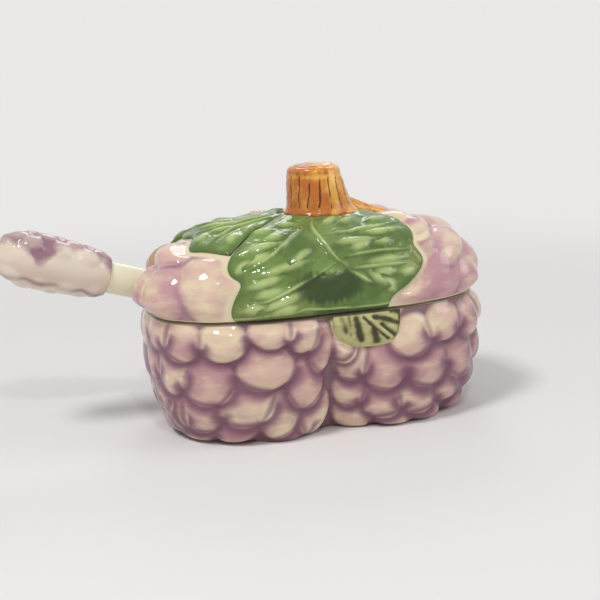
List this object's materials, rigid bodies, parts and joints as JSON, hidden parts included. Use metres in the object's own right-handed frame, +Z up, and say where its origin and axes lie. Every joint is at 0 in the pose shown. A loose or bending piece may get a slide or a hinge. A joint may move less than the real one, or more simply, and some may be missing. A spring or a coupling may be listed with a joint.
{
  "type": "jam pot",
  "caption": "Oval glazed jam pot shaped as two bunches of grapes, with a lift-off leaf-topped lid, a stalk knob and a spoon that leans out through a notch.",
  "frame": {"origin": "middle of the pot's foot, on the table", "axes": "+Z up, +X along the pot away from the spoon handle, -Y towards the side with the large leaf"},
  "size_m": [0.1697, 0.0746, 0.0892],
  "materials": {
    "grape_glaze": "gloss",
    "leaf_glaze": "gloss",
    "stalk_glaze": "gloss",
    "spoon_glaze": "gloss"
  },
  "bodies": {
    "pot": {"pot_body": "grape_glaze", "pot_leaf": "leaf_glaze"},
    "lid": {"lid_shell": "grape_glaze", "front_leaf": "leaf_glaze", "side_leaf": "leaf_glaze", "stalk_knob": "stalk_glaze", "side_twig": "stalk_glaze"},
    "spoon": {"jam_spoon": "spoon_glaze"}
  },
  "joints": [
    {"name": "lid_lift", "type": "slide", "parent": "pot", "child": "lid", "axis": [0, 0, 1], "range_m": [0, 0.1]},
    {"name": "spoon_draw", "type": "slide", "parent": "pot", "child": "spoon", "axis": [-0.9511, 0, 0.309], "range_m": [0, 0.022]}
  ]
}
